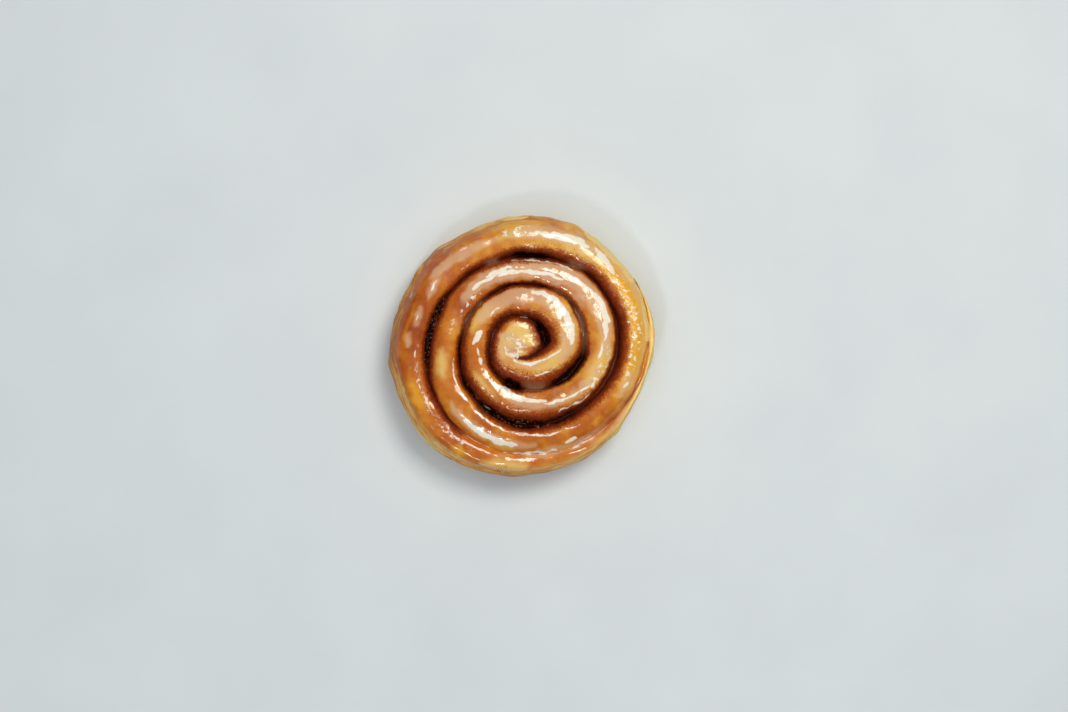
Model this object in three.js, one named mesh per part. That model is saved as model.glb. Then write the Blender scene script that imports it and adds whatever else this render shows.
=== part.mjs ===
// A glazed cinnamon roll: one strip of dough, rolled up, sliced across, laid flat and baked, so that it
// is a single solid. Seen from above, a seam winds out from the heart for almost three turns. Past
// there it is a ledge along the strip's tail, which thins, slides down the side and ends.
// Millimetres, +Z up. The roll stands on z = 0, and the origin is the middle of its base.
import * as THREE from "three";

// Angles are in degrees, anticlockwise from +X round the heart. They keep counting past 360, so that
// one angle names one place along the whole strip. Radii are measured from the heart.
const TURN = 360;
const KEY_STEP = 45;

// The seam's radius at every KEY_STEP. It begins at SEAM_START, is a groove up to LEDGE_START, and
// meets the outline at SEAM_END.
const SEAM_FIRST_KEY = -135;
const SEAM_RADII = [
  6, 6.5, 7.5, 10, 10.5, 11.5, 12, 12.5, 16,
  19, 24, 27.5, 27, 25, 24, 25.5, 30,
  34.5, 38, 42, 41, 37.5, 36.5, 39, 44.5,
  47.5, 51.5, 55, 56, 56,
];
const SEAM_START = -110;
const LEDGE_START = 975;
const SEAM_END = 1130;
const STRIP_END = SEAM_END + TURN;
const TAIL_LEAD = 15; // how long before the ledge begins inside it the tail begins to fall
const TAIL_START = LEDGE_START + TURN - TAIL_LEAD;

// The outline's radius at every OUTLINE_STEP: the roll is almost round.
const OUTLINE_STEP = 22.5;
const OUTLINE_RADII = [
  58.5, 57.5, 56, 56.5, 55, 53.5, 54.5, 54.5, 56.5, 57.5, 58.5, 58.5, 57.5, 57, 57, 56,
];
const RADIUS = Math.max(...OUTLINE_RADII);

// Heights.
const HEIGHT = 34; // the top of the heart
const HEART_RISE = 1.5; // the heart above the turns round it
const HEART_SPREAD = 11;
const DOME = 5; // how far the crowns fall from the heart to the rim
const TAIL_STEADY_FALL = 0.35; // the share of the tail's fall that is even
const TAIL_DIVE = 4; // the power of the rest, which comes mostly at the tail's end
const ARCH = 2; // each crown's own roundness
const WIDEST_HEIGHT = 12.5;

// The groove and the ledge.
const GROOVE_DEPTH = 10;
const GROOVE_OPENS = 110; // degrees that the groove takes to reach its depth
const GROOVE_CLOSES = 90;
const LEDGE_CREASE = 1;
const LEDGE_MERGES = 60;

// How wide the rounded shoulders are. The inner ones lie open on one side of the roll, and the outer
// ones at two places, one of them beside the heart.
const INNER_SHOULDER = 2.5;
const INNER_SHOULDER_OPEN = 3;
const OPEN_SIDE = 40;
const OUTER_SHOULDER = 2.5;
const OUTER_OPENINGS = [
  { angle: 290, spread: 45, extra: 5.5 },
  { angle: 630, spread: 40, extra: 2 },
];
const RIM_SHOULDER = 11;
const NARROWEST_SHARE = 0.45; // no shoulder takes more of the strip than this

// The side below the widest line.
const FOOT_INSET = 5.5;

// Mesh density.
const COLUMNS = 72;
const COLUMN = TURN / COLUMNS;
const SHOULDER_ROWS = 3;
const CROWN_ROWS = 3;
const ROWS = 2 * SHOULDER_ROWS + CROWN_ROWS;
const HEART_RINGS = 2;
const SIDE_ROWS = 5;
const SLIVER_WIDTH = 3;
const CLOSED_WIDTH = 0.6;

const QUARTER = Math.PI / 2;
const { clamp, degToRad, lerp, smoothstep } = THREE.MathUtils;

// A smooth rise and fall round a middle angle.
const swell = (angle, middle, spread) => Math.exp(-(((angle - middle) / spread) ** 2));

// A round arch over a share from 0 to 1, with a height of 1.
const arched = (share) => 4 * share * (1 - share);

// A smooth curve through evenly spaced keys (Catmull-Rom).
function curveThrough(keys, position, closed) {
  const count = keys.length;
  const key = (i) => keys[closed ? (i + count) % count : clamp(i, 0, count - 1)];
  const i = Math.floor(position);
  const f = position - i;
  const [a, b, c, d] = [key(i - 1), key(i), key(i + 1), key(i + 2)];
  const bend = 2 * a - 5 * b + 4 * c - d;
  const twist = 3 * (b - c) + d - a;
  return b + 0.5 * f * (c - a + f * (bend + f * twist));
}

function outline(angle) {
  const wrapped = ((angle % TURN) + TURN) % TURN;
  return curveThrough(OUTLINE_RADII, wrapped / OUTLINE_STEP, true);
}

function seam(angle) {
  const wound = curveThrough(SEAM_RADII, (angle - SEAM_FIRST_KEY) / KEY_STEP, false);
  return lerp(wound, outline(angle), smoothstep(angle, SEAM_END - LEDGE_MERGES, SEAM_END));
}

// The strip at an angle lies between the seam one turn before and the seam at that angle.
const heartRadius = seam(SEAM_START);
const innerEdge = (angle) => (angle < SEAM_START + TURN ? heartRadius : seam(angle - TURN));
const outerEdge = (angle) => (angle < SEAM_END ? seam(angle) : outline(angle));

// The height that the crowns reach, which is lower along the tail.
function crownHeight(angle, radius) {
  const dome = DOME * (radius / RADIUS) ** 2;
  const heart = HEART_RISE * Math.exp(-((radius / HEART_SPREAD) ** 2));
  const crown = HEIGHT - HEART_RISE + heart - dome;
  const tail = clamp((angle - TAIL_START) / (STRIP_END - TAIL_START), 0, 1);
  return lerp(crown, WIDEST_HEIGHT, lerp(tail ** TAIL_DIVE, tail, TAIL_STEADY_FALL));
}

// The height of the seam's bottom, with the strip's next turn just outside it.
function seamFloor(angle) {
  const opened = smoothstep(angle, SEAM_START, SEAM_START + GROOVE_OPENS);
  const closed = smoothstep(angle, LEDGE_START - GROOVE_CLOSES, LEDGE_START);
  const merged = smoothstep(angle, SEAM_END - LEDGE_MERGES, SEAM_END);
  const groove = GROOVE_DEPTH * opened * (1 - closed);
  const crease = LEDGE_CREASE * closed * (1 - merged);
  return crownHeight(angle + TURN, seam(angle)) - groove - crease;
}

// Shoulder widths. The outer shoulder becomes the rounded rim where there is no turn outside it.
function innerShoulder(angle, width) {
  const facing = 0.5 + 0.5 * Math.cos(degToRad(angle - OPEN_SIDE));
  return Math.min(INNER_SHOULDER + INNER_SHOULDER_OPEN * facing, NARROWEST_SHARE * width);
}

function outerShoulder(angle, width) {
  let open = OUTER_SHOULDER;
  for (const opening of OUTER_OPENINGS) {
    open += opening.extra * swell(angle, opening.angle, opening.spread);
  }
  const rim = lerp(open, RIM_SHOULDER, smoothstep(angle, LEDGE_START - GROOVE_CLOSES, SEAM_END));
  return Math.min(rim, NARROWEST_SHARE * width);
}

// A point of the top. Rows run from the strip's inner edge, 0, over its crown to its outer edge, ROWS.
function topPoint(angle, row) {
  const inner = innerEdge(angle);
  const outer = outerEdge(angle);
  const width = outer - inner;
  const innerWidth = innerShoulder(angle, width);
  const outerWidth = outerShoulder(angle, width);
  const rise = QUARTER * clamp(row / SHOULDER_ROWS, 0, 1);
  const fall = QUARTER * clamp((ROWS - row) / SHOULDER_ROWS, 0, 1);
  const over = clamp((row - SHOULDER_ROWS) / CROWN_ROWS, 0, 1);
  const crown = (width - innerWidth - outerWidth) * over;
  const across = innerWidth * (1 - Math.cos(rise)) + crown + outerWidth * Math.cos(fall);

  const inHeart = angle < SEAM_START + TURN;
  const atRim = angle > SEAM_END;
  const innerHeight = inHeart ? crownHeight(angle, inner) : seamFloor(angle - TURN);
  const outerHeight = atRim ? WIDEST_HEIGHT : seamFloor(angle);
  const innerDrop = crownHeight(angle, inner) - innerHeight;
  const outerDrop = crownHeight(angle, outer) - outerHeight;
  const share = width > 0 ? across / width : 0;
  const arch = ARCH * smoothstep(angle, SEAM_START + TURN, TURN) * arched(share);
  const top = crownHeight(angle, inner + across) + arch;
  return {
    radius: inner + across,
    z: top - innerDrop * (1 - Math.sin(rise)) - outerDrop * (1 - Math.sin(fall)),
  };
}

// A point of the side, from just below the widest line, 1, to the foot, SIDE_ROWS.
function sidePoint(angle, row) {
  const tuck = (QUARTER * row) / SIDE_ROWS;
  return {
    radius: outline(angle) - FOOT_INSET * (1 - Math.cos(tuck)),
    z: WIDEST_HEIGHT * (1 - Math.sin(tuck)),
  };
}

// A closed surface, built up from points and the quads between them.
class Skin {
  positions = [];
  faces = [];

  point(angle, { radius, z }) {
    const a = degToRad(angle);
    this.positions.push(radius * Math.cos(a), radius * Math.sin(a), z);
    return this.positions.length / 3 - 1;
  }

  triangle(a, b, c) {
    if (a !== b && b !== c && c !== a) this.faces.push(a, b, c);
  }

  // Joins two rows of points that run anticlockwise, with the second one further out or lower.
  band(inner, outer) {
    for (let i = 0; i + 1 < inner.length; i++) {
      this.triangle(inner[i], outer[i], outer[i + 1]);
      this.triangle(inner[i], outer[i + 1], inner[i + 1]);
    }
  }

  geometry() {
    const geometry = new THREE.BufferGeometry();
    geometry.setAttribute("position", new THREE.Float32BufferAttribute(this.positions, 3));
    geometry.setIndex(this.faces);
    return geometry;
  }
}

// A closed ring of points, whose last is its first.
function ring(skin, pointAt) {
  const points = Array.from({ length: COLUMNS }, (_, i) => {
    const angle = SEAM_START + i * COLUMN;
    return skin.point(angle, pointAt(angle));
  });
  return [...points, points[0]];
}

// The heart's middle, as rings round one point. Returns its outermost ring.
function addHeart(skin) {
  const middle = skin.point(0, { radius: 0, z: crownHeight(0, 0) });
  let inside = new Array(COLUMNS + 1).fill(middle);
  for (let i = 1; i <= HEART_RINGS; i++) {
    const radius = (heartRadius * i) / HEART_RINGS;
    const outside = ring(skin, (angle) => ({ radius, z: crownHeight(angle, radius) }));
    skin.band(inside, outside);
    inside = outside;
  }
  return inside;
}

// One column of the strip's points, outward from its inner edge. Where the strip is only a sliver, it
// has just its edges, and where it has no width to speak of, it is closed.
function stripColumn(skin, angle, inner) {
  const width = outerEdge(angle) - innerEdge(angle);
  if (width < CLOSED_WIDTH) return new Array(ROWS + 1).fill(inner);
  const outer = skin.point(angle, topPoint(angle, ROWS));
  const points = [inner];
  for (let row = 1; row < ROWS; row++) {
    const edge = row < ROWS / 2 ? inner : outer;
    points.push(width < SLIVER_WIDTH ? edge : skin.point(angle, topPoint(angle, row)));
  }
  return [...points, outer];
}

// The strip, from its pointed start beside the heart to its pointed end on the outline. Each turn's
// inner edge is the turn before's outer edge. Returns the last turn's outer edge.
function addStrip(skin, heartEdge) {
  const lastColumn = Math.round((STRIP_END - SEAM_START) / COLUMN);
  const outerEdges = [];
  let before = null;
  for (let column = 0; column <= lastColumn; column++) {
    const inner = column < COLUMNS ? heartEdge[column] : outerEdges[column - COLUMNS];
    const here = stripColumn(skin, SEAM_START + column * COLUMN, inner);
    outerEdges.push(here[ROWS]);
    for (let row = 0; before && row < ROWS; row++) {
      skin.band([before[row], here[row]], [before[row + 1], here[row + 1]]);
    }
    before = here;
  }
  return outerEdges.slice(lastColumn - COLUMNS);
}

// The side and the flat base. The rim starts at the strip's last turn.
function addSideAndBase(skin, rim) {
  const start = STRIP_END - TURN;
  let above = rim;
  for (let row = 1; row <= SIDE_ROWS; row++) {
    const below = rim.slice(0, -1).map((_, i) => {
      const angle = start + i * COLUMN;
      return skin.point(angle, sidePoint(angle, row));
    });
    below.push(below[0]);
    skin.band(above, below);
    above = below;
  }
  const middle = skin.point(0, { radius: 0, z: 0 });
  skin.band(above, new Array(above.length).fill(middle));
}

// The roll, moved so that the origin is the middle of its base.
function cinnamonRoll() {
  const skin = new Skin();
  const rim = addStrip(skin, addHeart(skin));
  addSideAndBase(skin, rim);
  const geometry = skin.geometry();
  geometry.computeBoundingBox();
  const middle = geometry.boundingBox.getCenter(new THREE.Vector3());
  geometry.translate(-middle.x, -middle.y, 0);
  geometry.computeVertexNormals();
  const glazedDough = new THREE.MeshStandardMaterial({ color: 0xb96f2c, roughness: 0.3, metalness: 0 });
  const mesh = new THREE.Mesh(geometry, glazedDough);
  mesh.name = "cinnamon_roll";
  return mesh;
}

const group = new THREE.Group();
group.add(cinnamonRoll());

export default group;
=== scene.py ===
"""A glazed cinnamon roll on a pale floor, seen from straight above.

The roll is one strip of dough, rolled up, baked and glazed. The strip is described by two coordinates:
the turn angle, in degrees anticlockwise from +X round the heart, which keeps counting past 360, and the
place across the strip. Lengths are in millimetres until a mesh is made, and in metres from there on.
"""

import math

import bmesh
import bpy
import numpy as np
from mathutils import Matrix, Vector


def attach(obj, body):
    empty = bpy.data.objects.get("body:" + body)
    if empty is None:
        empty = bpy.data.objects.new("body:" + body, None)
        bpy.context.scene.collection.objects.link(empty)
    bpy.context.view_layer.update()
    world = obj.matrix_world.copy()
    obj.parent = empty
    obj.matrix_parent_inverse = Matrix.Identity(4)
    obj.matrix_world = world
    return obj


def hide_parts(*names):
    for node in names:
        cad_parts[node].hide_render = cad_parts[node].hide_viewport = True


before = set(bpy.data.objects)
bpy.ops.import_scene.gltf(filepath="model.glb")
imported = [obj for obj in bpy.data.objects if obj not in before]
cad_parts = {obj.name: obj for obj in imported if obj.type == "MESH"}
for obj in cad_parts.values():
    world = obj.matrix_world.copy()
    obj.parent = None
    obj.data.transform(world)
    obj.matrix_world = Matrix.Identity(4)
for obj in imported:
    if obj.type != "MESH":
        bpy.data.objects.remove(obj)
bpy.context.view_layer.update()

MM = 0.001
TURN = 360.0
NODE = "cinnamon_roll"

# ---------------------------------------------------------------- the strip, as in the CAD part

KEY_STEP = 45.0
SEAM_FIRST_KEY = -135.0
SEAM_RADII = [
    6, 6.5, 7.5, 10, 10.5, 11.5, 12, 12.5, 16,
    19, 24, 27.5, 27, 25, 24, 25.5, 30,
    34.5, 38, 42, 41, 37.5, 36.5, 39, 44.5,
    47.5, 51.5, 55, 56, 56,
]
SEAM_START = -110.0
LEDGE_START = 975.0
SEAM_END = 1130.0
STRIP_END = SEAM_END + TURN
TAIL_START = LEDGE_START + TURN - 15.0

OUTLINE_STEP = 22.5
OUTLINE_RADII = [
    58.5, 57.5, 56, 56.5, 55, 53.5, 54.5, 54.5, 56.5, 57.5, 58.5, 58.5, 57.5, 57, 57, 56,
]
RADIUS = max(OUTLINE_RADII)

HEIGHT = 34.0
HEART_RISE = 1.5
HEART_SPREAD = 11.0
DOME = 5.0
TAIL_STEADY_FALL = 0.35
ARCH = 2.0
WIDEST_HEIGHT = 12.5

SEAM_WANDER = 0.35
SEAM_STEADIES = 90.0
WANDER_WAVES = ((0.11, 0.5), (0.23, 0.3), (0.57, 0.2), (1.1, 0.12))  # waves per degree, and height
# Where the seam steps aside: turn angle, spread in degrees, and millimetres outward.
JOGS = [(764, 9, 0.4), (797, 18, -0.9), (326, 22, -0.5), (590, 26, -0.5), (410, 22, 0.3)]

GROOVE_DEPTH = 4.5
GROOVE_DEEPENS = 5.0  # how much deeper the groove is where the turns have parted most
GROOVE_OPENS = 110.0
GROOVE_CLOSES = 90.0
LEDGE_CREASE = 1.0
LEDGE_MERGES = 60.0

# The strip's rounded edge is this wide where there is no stain, and wider by this much for each millimetre
# that the stain reaches.
SHOULDER = 1.0
SHOULDER_GROWS = 0.8
RIM_SHOULDER = 11.0
WIDEST_SHOULDER_SHARE = 0.45
FOOT_INSET = 5.5

# The groove's floor is a thin line just outside the seam, except where the turns have parted: turn angle,
# half length in degrees, and the floor's extra width.
GROOVE_GAP = 0.2
GAP_UNEVEN = 0.4
GAP_PHASE = 2.3
WIDEST_GAP_SHARE = 0.25
HOLES = [
    (22, 36, 0.9), (205, 22, 0.3), (260, 13, 1.0), (330, 22, 1.3), (464, 14, 0.2), (548, 18, 0.5),
    (580, 14, 0.6), (622, 30, 0.9), (660, 14, 0.6), (720, 24, 0.3), (803, 14, 0.9), (892, 24, 0.9),
]
WIDEST_HOLE = 1.3
# Where holes, pools and crumbs start to fade and where they end, in half lengths.
HOLE_FADE = (0.3, 1.5)
POOL_FADE = (0.4, 1.4)
CRUMB_FADE = (0.6, 1.2)

# The lists below have one value at every KEY_STEP along the strip, from SEAM_FIRST_KEY on.
# How far the filling's stain reaches up from the strip's inner edge, and from its outer edge.
INNER_STAINS = [
    0.4, 0.4, 0.4, 0.4, 0.4, 0.4, 0.4, 0.4, 0.4,
    0.8, 2.2, 5.6, 5.2, 3.2, 3.6, 2.4, 1.2,
    1.8, 0.8, 2.6, 2.0, 1.4, 1.8, 1.0, 1.6,
    3.6, 3.8, 5.0, 4.8, 3.4, 2.4, 2.4, 3.0,
    0.4, 0.4, 0.4, 0.4,
]
OUTER_STAINS = [
    0.4, 1.0, 2.4, 3.8, 3.8, 2.6, 2.6, 3.4, 4.8,
    7.2, 6.6, 2.4, 1.0, 1.8, 1.6, 3.6, 5.0,
    6.6, 3.4, 1.6, 1.4, 3.2, 2.0, 3.6, 1.0,
    0.5, 0.4, 0.4, 0.4, 0.4, 0.4, 0.4, 0.4,
    0.4, 0.4, 0.4, 0.4,
]
STAIN_SPREAD = 1.12  # how much further the stain's warm edge reaches
STAIN_CLOSES = 25.0  # degrees over which it ends where the groove closes
# The crust's colour along the crown, from 0, pale butter, to 1, rusty brown.
TOASTS = [
    0.1, 0.1, 0.1, 0.1, 0.15, 0.2, 0.2, 0.25, 0.35,
    0.3, 0.25, 0.3, 0.45, 0.5, 0.4, 0.5, 0.4,
    0.65, 0.5, 0.35, 0.5, 0.65, 0.6, 0.6, 0.6,
    0.5, 0.5, 0.3, 0.22, 0.35, 0.62, 0.7, 0.6,
    0.65, 0.45, 0.2, 0.2,
]
# How much milky glaze lies on the crown.
VEILS = [
    0.3, 0.3, 0.3, 0.3, 0.2, 0.1, 0.3, 0.5, 0.6,
    0.2, 0.1, 0.3, 0.4, 0.3, 0.1, 0.15, 0.1,
    0.3, 0.3, 0.2, 0.5, 0.6, 0.3, 0.1, 0,
    0, 0.1, 0.1, 0.2, 0.1, 0.25, 0.1, 0.05,
    0.05, 0.05, 0, 0,
]
# Where the glaze ends on the rim, as a share of the way across the strip.
GLAZE_EDGE_START = 1080.0
GLAZE_EDGES = [0.93, 0.8, 1.0, 0.97, 0.8, 0.72, 0.74, 0.6, 0.12, 0.1]

# The glaze runs down the side in places: how far and how wide, and how fast it ends down the side.
RUN_LENGTH = 0.3
RUN_WIDTH = 13.0
RUN_STRETCH = 0.25
RUN_DOWN = 0.8
RUN_START = 0.7  # share across the strip where runs can start

# Where glaze fills the groove: turn angle, half length in degrees, and how full it is.
POOLS = [(288, 14, 1), (376, 24, 1), (408, 12, 1), (510, 22, 1), (774, 6, 1), (829, 5, 1)]
POOL_DEPTH = 2.0

# Strokes on the crown: start and end turn angle, share across the strip at both ends, and half width at
# the middle. The first list is opaque, crisp white glaze and painted highlights and glints; the second is
# thin, soft milky glaze and painted sheen.
ICING_AND_HIGHLIGHT_STROKES = [
    (196, 250, 0.52, 0.36, 0.45),
    (222, 252, 0.2, 0.17, 0.4), (248, 274, 0.6, 0.5, 0.35), (250, 320, 0.16, 0.22, 0.45),
    (318, 352, 0.24, 0.44, 0.35), (296, 326, 0.54, 0.64, 0.3), (360, 402, 0.7, 0.74, 1.7),
    (392, 436, 0.76, 0.8, 1.1), (474, 502, 0.45, 0.46, 0.35), (523, 541, 0.42, 0.54, 1.2),
    (547, 558, 0.42, 0.31, 0.5), (561, 571, 0.34, 0.28, 0.75), (568, 600, 0.27, 0.27, 0.5),
    (598, 654, 0.22, 0.34, 1.3), (624, 638, 0.65, 0.6, 0.3), (650, 690, 0.4, 0.66, 0.7),
    (658, 686, 0.78, 0.86, 0.3), (688, 694, 0.74, 0.72, 0.6), (708, 720, 0.5, 0.56, 0.7),
    (722, 742, 0.62, 0.72, 1.2), (734, 756, 0.78, 0.74, 1.4), (752, 772, 0.74, 0.6, 0.9),
    (774, 816, 0.84, 0.86, 0.4), (776, 828, 0.42, 0.46, 0.9), (816, 836, 0.6, 0.62, 1.1),
    (830, 852, 0.5, 0.5, 0.8), (914, 986, 0.2, 0.33, 0.4), (978, 1026, 0.32, 0.42, 0.4),
    (954, 988, 0.68, 0.72, 1.4), (984, 1009, 1.0, 0.92, 0.35), (1012, 1028, 1.0, 0.96, 0.35),
    (1014, 1021, 0.76, 0.77, 0.8), (1117, 1131, 0.56, 0.7, 1.5), (1135, 1158, 0.64, 0.52, 1.6),
    (1156, 1166, 0.6, 0.5, 0.9), (1198, 1209, 0.18, 0.19, 0.3), (1232, 1268, 0.84, 0.86, 0.25),
    (1264, 1268, 0.32, 0.31, 0.5), (1272, 1300, 0.3, 0.29, 0.3), (1342, 1364, 0.03, -0.02, 0.4),
    (1370, 1390, 0.06, 0.03, 0.5), (1196, 1203, 0.6, 0.58, 0.5), (1223, 1230, 0.42, 0.38, 0.4),
    (1244, 1248, 0.44, 0.42, 0.4), (287, 291, 0.93, 0.99, 0.3), (364, 382, 0.985, 0.985, 0.25),
    (492, 507, 0.99, 0.99, 0.2), (74, 90, 0.98, 0.96, 0.22), (152, 198, 0.99, 0.98, 0.2),
    (600, 606, 1.0, 1.0, 0.3), (616, 619, 0.99, 0.99, 0.25), (628, 640, 1.0, 1.0, 0.2),
    (1056, 1060, 0.63, 0.63, 0.6),
]
# Thin, soft milky glaze and painted sheen.
MILK_AND_SHEEN_STROKES = [
    (396, 508, 0.7, 0.6, 3.8), (600, 700, 0.3, 0.66, 2.0), (716, 860, 0.66, 0.5, 4.2),
    (1186, 1224, 0.5, 0.54, 2.4), (1130, 1172, 0.6, 0.56, 3.4),
    (1052, 1066, 0.62, 0.64, 2.0), (942, 998, 0.68, 0.72, 2.4), (1221, 1234, 0.42, 0.36, 1.7),
    (1240, 1251, 0.44, 0.4, 1.5), (1340, 1410, 0.14, 0.06, 0.8), (1395, 1470, 0.3, 0.2, 1.2),
    (1255, 1262, 0.5, 0.5, 1.2),
    (250, 330, 0.2, 0.3, 1.2), (340, 420, 0.6, 0.7, 3.6), (1000, 1036, 0.9, 0.96, 1.4),
]

# Places where the glaze and crust are thin and pale, as strokes.
PALE_STROKES = [
    (1334, 1352, 0.68, 0.6, 3.8), (1352, 1385, 0.8, 0.8, 1.6), (1385, 1425, 0.66, 0.7, 2.0),
    (1400, 1480, 0.5, 0.5, 1.6), (300, 365, 0.45, 0.5, 2.4), (494, 522, 0.7, 0.7, 2.6),
    (576, 604, 0.62, 0.6, 2.4), (690, 722, 0.62, 0.6, 3.4), (907, 923, 0.56, 0.56, 2.6),
    (20, 200, 0.5, 0.5, 1.8), (1135, 1230, 0.97, 0.98, 1.6), (1160, 1182, 0.62, 0.5, 2.0),
]
STROKE_TAPER = 0.45

# How far, in millimetres, the outlines of the strokes and dabs stray, and the size of their bends.
RAGGED = 0.7
RAGGED_SIZE = 4.0
# How far inside their outlines the heart's pitted places, with their painted glints, and its rusty places
# start and are full.
DAB_FADE = (-0.8, 0.8)
RUST_FADE = (-0.5, 1.0)
RUST = 0.45

# How far down the rim the strokes and patches stay whole, in millimetres, and how far below they end.
PAINT_DEPTH = 3.0
PATCH_FADE = 4.0

# Dabs of white glaze and painted highlights on the heart, in millimetres from its middle: both ends and
# the half width.
HEART_GLAZE_AND_HIGHLIGHT_DABS = [
    (2.0, 3.0, 3.6, 2.9, 0.4), (4.2, 2.6, 5.4, -1.2, 0.5), (-1.4, 0.2, -0.2, -0.8, 0.6),
    (-0.7, -2.4, -0.6, -4.4, 0.3), (-4.2, -4.6, -2.2, -5.6, 0.6),
    (-2.6, -6.9, -0.9, -8.2, 0.25), (-0.9, -8.2, 3.9, -9.1, 0.4), (3.9, -9.1, 8.2, -8.2, 0.45),
    (8.2, -8.2, 12.6, -6.1, 0.25), (12.6, -6.1, 17.3, -3.5, 0.25),
]
# Dabs of milky glaze and painted sheen on the heart, given the same way.
HEART_MILK_AND_SHEEN_DABS = [(-6.0, 2.9, -3.0, 2.4, 1.6), (-2.0, 1.0, 0.6, -1.6, 2.6), (-3.0, -4.0, -5.6, -1.6, 1.6)]
# Dabs of pitted crust on the heart, with painted glints as white flecks.
HEART_PITTED_AND_GLINT_DABS = [
    (-5.8, 2.8, -3.4, 2.4, 1.8), (-2.0, 1.0, 0.6, -1.6, 2.4), (1.6, 2.8, 4.4, 2.0, 1.2),
    (-4.6, -4.2, -2.0, -5.4, 1.6),
]
HEART_PALE = [(-2.0, 5.0, 3.5, 4.5, 3.4), (-4.0, 1.5, 4.0, 1.5, 3.4), (-8.0, -2.5, -7.0, -5.0, 1.6)]
HEART_RUST = [
    (2.0, -2.2, 4.6, -2.8, 1.4), (-3.6, -2.9, -2.2, -3.1, 0.9), (-9.5, 1.5, -6.4, 6.6, 1.2),
    (-6.0, 6.8, 0.0, 9.5, 0.8),
]

# Patches on the crown: turn angle, share across the strip, half length in degrees, half width as a
# share, and strength.
YELLOW_PATCHES = [
    (978, 0.85, 14, 0.12, 0.6), (1036, 0.65, 5, 0.2, 0.4), (1082, 0.64, 30, 0.28, 1.4),
    (1112, 0.66, 18, 0.26, 1.4), (1170, 0.78, 12, 0.14, 1.0), (1288, 0.5, 14, 0.25, 0.6),
    (1322, 0.6, 8, 0.2, 0.6), (1250, 0.6, 20, 0.1, 0.4),
    (1212, 0.93, 22, 0.08, 0.8), (1125, 0.92, 26, 0.12, 0.9),
]
SPECKLED_PATCHES = [
    (655, 0.28, 22, 0.1, 1.0), (845, 0.3, 25, 0.1, 0.9), (1342, 0.65, 5, 0.25, 1.0),
    (1090, 0.35, 40, 0.15, 1.0), (1150, 0.35, 25, 0.12, 0.8), (1310, 0.22, 20, 0.1, 1.0),
    (745, 0.7, 22, 0.3, 0.4), (1215, 0.3, 20, 0.2, 0.4), (430, 0.3, 40, 0.12, 0.6),
    (570, 0.8, 30, 0.15, 0.5), (560, 0.2, 30, 0.15, 0.6),
]
# Pitted crust, with painted glints as white flecks.
PITTED_AND_GLINT_PATCHES = [
    (1092, 0.56, 30, 0.17, 1.5), (1298, 0.3, 32, 0.07, 1.0), (858, 0.3, 24, 0.12, 0.8),
    (700, 0.7, 24, 0.16, 0.8), (640, 0.25, 20, 0.1, 0.6), (745, 0.6, 25, 0.3, 0.5),
    (1172, 0.6, 14, 0.14, 0.8), (885, 0.4, 14, 0.12, 0.6), (1165, 0.25, 14, 0.08, 0.5),
]

# Grains of filling. CRUMB_PLACES say where coarse crumbs fill the groove, as the pools do for glaze.
CRUMB_PLACES = [(590, 12, 1), (622, 26, 1), (892, 24, 1)]
CRUMBS = 150
CRUMB_SIZES = (0.3, 0.65)
GRAINS = 1800
GRAIN_SIZES = (0.09, 0.2)
CRUMB_FLATTEST = 0.6
CRUMB_ROUGHNESS = (0.8, 1.15)
CRUMB_PROUD = 0.4  # how far a crumb's middle stands out, in sizes of the smallest crumb

# The crust's bumps: height and size in millimetres.
LUMP, LUMP_SIZE = 0.5, 16.0
SMALL_LUMP, SMALL_LUMP_SIZE = 0.28, 7.0
WRINKLE, WRINKLE_SIZE = 0.14, 3.0
CROWN_DEPTHS = (1.0, 5.0)  # depth below the crown where the small bumps start to fade and where they end

# The rim's flaky layers, in millimetres.
LAYER_HEIGHT = 3.2
LAYER_WOBBLE, LAYER_WOBBLE_SIZE = 0.9, 14.0
LAYER_EDGE = 0.16
LAYER_SLOPE = 0.3
RIM_LAYER = 0.26
RIM_WAVE, RIM_WAVE_SIZE = 0.7, 9.0
FLAKY_SIZE = 22.0
BULGE_SPREAD = 2.4  # half height of the band where the side is widest
RIM_BLEND = 20.0  # degrees over which the rim's look starts after the seam's end

# ---------------------------------------------------------------- mesh density

COLUMNS = 432
COLUMN = TURN / COLUMNS
ROWS = 40
FINE_ROWS = 60
SIDE_ROWS = 22
BASE_RINGS = 14
HEART_RINGS = 16
CLOSED_WIDTH = 0.35  # where the strip is narrower than this, it has no rows of its own
GROOVE_CARE = 0.5  # how much closer the rows are on the crown than on the groove's walls
FAR = 10.0  # further than any stroke reaches, in millimetres

QUARTER = math.pi / 2


def smooth(x, low, high):
    f = np.clip((x - low) / (high - low), 0.0, 1.0)
    return f * f * (3.0 - 2.0 * f)


def mix(a, b, f):
    return a + (b - a) * f


def swell(x, middle, spread):
    return np.exp(-(((x - middle) / spread) ** 2))


def curve_through(keys, position, closed=False):
    """A smooth curve through evenly spaced keys (Catmull-Rom)."""
    keys = np.asarray(keys, float)
    count = len(keys)
    i = np.floor(position).astype(int)
    f = position - i

    def key(j):
        return keys[j % count] if closed else keys[np.clip(j, 0, count - 1)]

    a, b, c, d = key(i - 1), key(i), key(i + 1), key(i + 2)
    bend = 2 * a - 5 * b + 4 * c - d
    twist = 3 * (b - c) + d - a
    return b + 0.5 * f * (c - a + f * (bend + f * twist))


def along_strip(keys, turn):
    return curve_through(keys, (turn - SEAM_FIRST_KEY) / KEY_STEP)


def outline(turn):
    return curve_through(OUTLINE_RADII, np.mod(turn, TURN) / OUTLINE_STEP, closed=True)


def wander(turn, phase):
    """A slow, uneven drift along the strip, within about -1 and 1."""
    waves = enumerate(WANDER_WAVES)
    return sum(high * np.sin(turn * rate + phase * (k + 1.7)) for k, (rate, high) in waves)


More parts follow.
